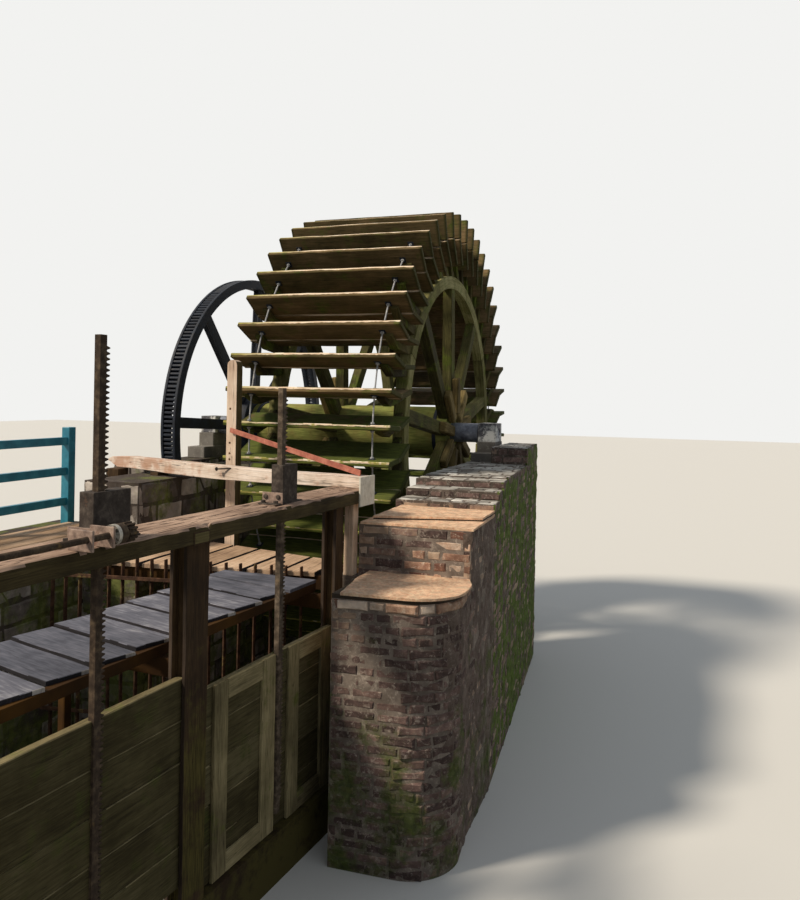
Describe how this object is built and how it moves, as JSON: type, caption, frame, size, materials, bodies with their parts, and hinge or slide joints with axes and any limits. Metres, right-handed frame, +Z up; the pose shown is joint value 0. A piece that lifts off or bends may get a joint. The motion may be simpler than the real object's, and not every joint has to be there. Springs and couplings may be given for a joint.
{
  "type": "watermill wheel with sluice",
  "caption": "Wooden water wheel with an iron gear ring on its axle, brick piers, and a timber sluice with two gates raised by toothed racks.",
  "frame": {"origin": "on the ground under the middle of the right-hand bearing", "axes": "+X along the wheel's axle to the right, +Y downstream past the wheel, +Z up"},
  "size_m": [4.59, 9.6892, 5.0979],
  "materials": {
    "wet_oak": "wet weathered oak with moss",
    "paddle_board": "weathered elm boards, dark and wet, with moss",
    "sluice_oak": "grey-brown weathered oak",
    "deck_plank": "sun-bleached planks",
    "pale_timber": "dry pale timber",
    "black_iron": "black painted cast iron",
    "rusty_iron": "rusted iron",
    "red_lead_bar": "dull red oxide paint",
    "teal_paint": "teal gloss paint on wood",
    "sign_paint": "off-white painted board",
    "brickwork": "weathered brick with lime stains and moss",
    "mossy_stone": "damp mossy rubble stone"
  },
  "bodies": {
    "frame": {"pier_nose": "brickwork", "pier_front": "brickwork", "pier_back": "brickwork", "bearing_pedestals": "brickwork", "right_bearing": "rusty_iron", "left_bearing": "rusty_iron", "left_wall": "mossy_stone", "gear_wall": "mossy_stone", "bank_wall": "mossy_stone", "boardwalk": "deck_plank", "fence_posts": "teal_paint", "fence_rails": "teal_paint", "main_beam": "sluice_oak", "sluice_posts": "sluice_oak", "gate_sill": "sluice_oak", "gear_box_right": "rusty_iron", "gear_box_left": "rusty_iron", "shaft_brackets": "rusty_iron", "deck_joists": "sluice_oak", "walkway_deck": "deck_plank", "platform_deck": "deck_plank", "trash_rack": "rusty_iron", "pale_beam": "pale_timber", "timber_posts": "pale_timber", "red_bar": "red_lead_bar", "sign_board": "sign_paint"},
    "wheel": {"axle": "wet_oak", "axle_bands": "black_iron", "journals": "black_iron", "right_arms": "wet_oak", "left_arms": "wet_oak", "right_rim": "wet_oak", "left_rim": "wet_oak", "paddles_outer": "paddle_board", "paddles_inner": "paddle_board", "paddle_starts": "wet_oak", "tie_rods": "black_iron", "gear_ring": "black_iron", "gear_arms": "black_iron", "gear_hub": "black_iron"},
    "gate_right": {"gate_right": "sluice_oak", "rack_right": "rusty_iron"},
    "gate_left": {"gate_left": "sluice_oak", "rack_left": "rusty_iron"},
    "drive_shaft": {"drive_shaft": "black_iron"}
  },
  "joints": [
    {"name": "wheel_spin", "type": "hinge", "parent": "frame", "child": "wheel", "pos_m": [-1.165, 0, 2.6], "axis": [1, 0, 0], "continuous": true},
    {"name": "gate_right_lift", "type": "slide", "parent": "frame", "child": "gate_right", "axis": [0, 0, 1], "range_m": [0, 0.45]},
    {"name": "gate_left_lift", "type": "slide", "parent": "frame", "child": "gate_left", "axis": [0, 0, 1], "range_m": [-0.13, 0.45]},
    {"name": "drive_shaft_turn", "type": "hinge", "parent": "frame", "child": "drive_shaft", "pos_m": [-0.27864, -6.07461, 2.378], "axis": [0.0906, 0.9959, 0], "range_deg": [-160, 545]}
  ],
  "couplings": [
    {"joint": "drive_shaft_turn", "follows": "gate_left_lift", "rad_per_m": 20.942}
  ]
}
